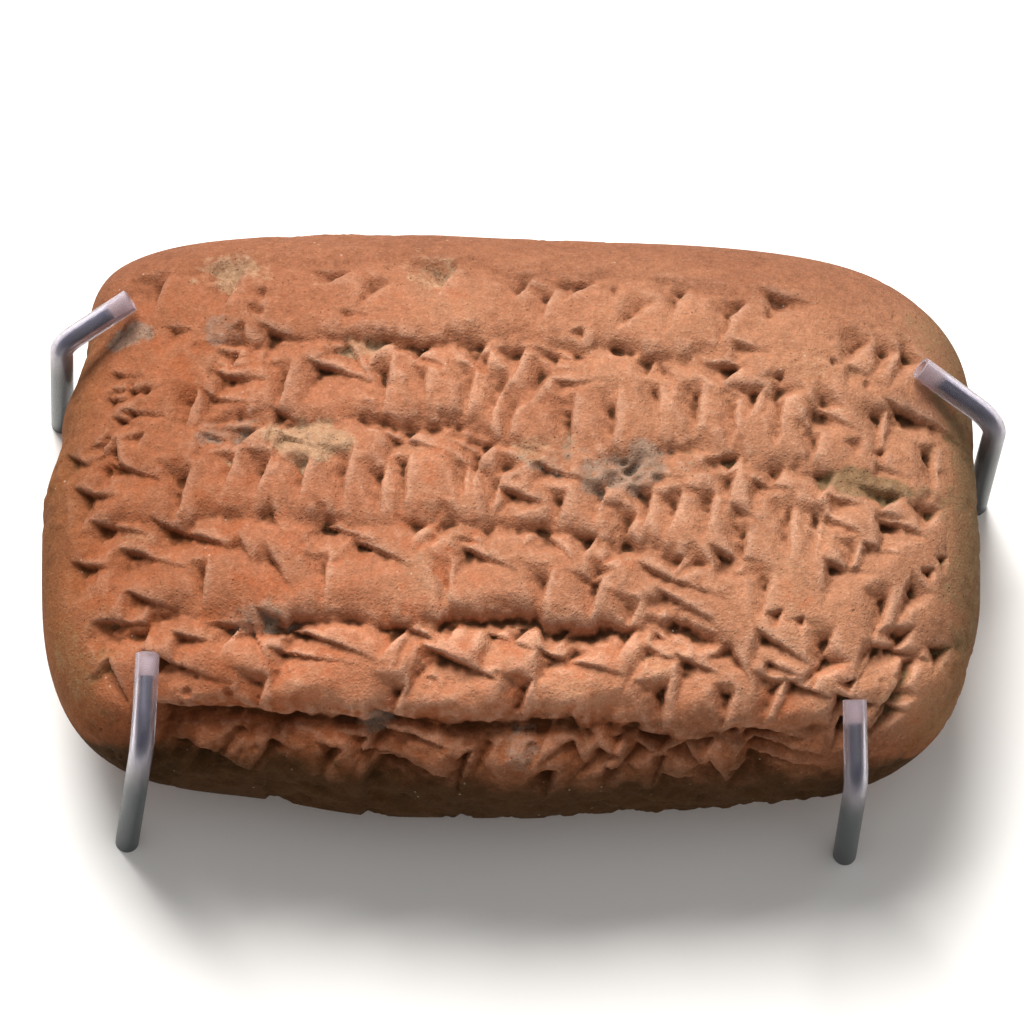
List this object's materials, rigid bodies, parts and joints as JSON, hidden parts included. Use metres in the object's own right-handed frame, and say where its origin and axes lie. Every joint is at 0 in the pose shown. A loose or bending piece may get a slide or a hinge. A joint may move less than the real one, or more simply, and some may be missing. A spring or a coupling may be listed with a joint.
{
  "type": "cuneiform tablet",
  "caption": "Pillow-shaped baked clay tablet pressed with rows of wedge strokes, lying face up and gripped round its rim by bent steel pins in clear sleeves.",
  "frame": {"origin": "middle of the footprint of tablet and pins together, on the surface the tablet lies on; the clay's flat resting spot is over it", "axes": "+X along the lines of writing, left to right; +Y towards the tablet's top edge; +Z out of the written face"},
  "size_m": [0.0722, 0.046, 0.0216],
  "materials": {
    "clay": "matt unglazed baked clay, reddish, worn, with grey-brown dirt in the hollows",
    "steel": "drawn wire, blue-grey, satin",
    "clear_plastic": "clear, slightly milky soft tube"
  },
  "bodies": {
    "root": {"tablet": "clay", "pin_top_left": "steel", "sleeve_top_left": "clear_plastic", "pin_top_right": "steel", "sleeve_top_right": "clear_plastic", "pin_bottom_left": "steel", "sleeve_bottom_left": "clear_plastic", "pin_bottom_right": "steel", "sleeve_bottom_right": "clear_plastic"}
  },
  "joints": []
}
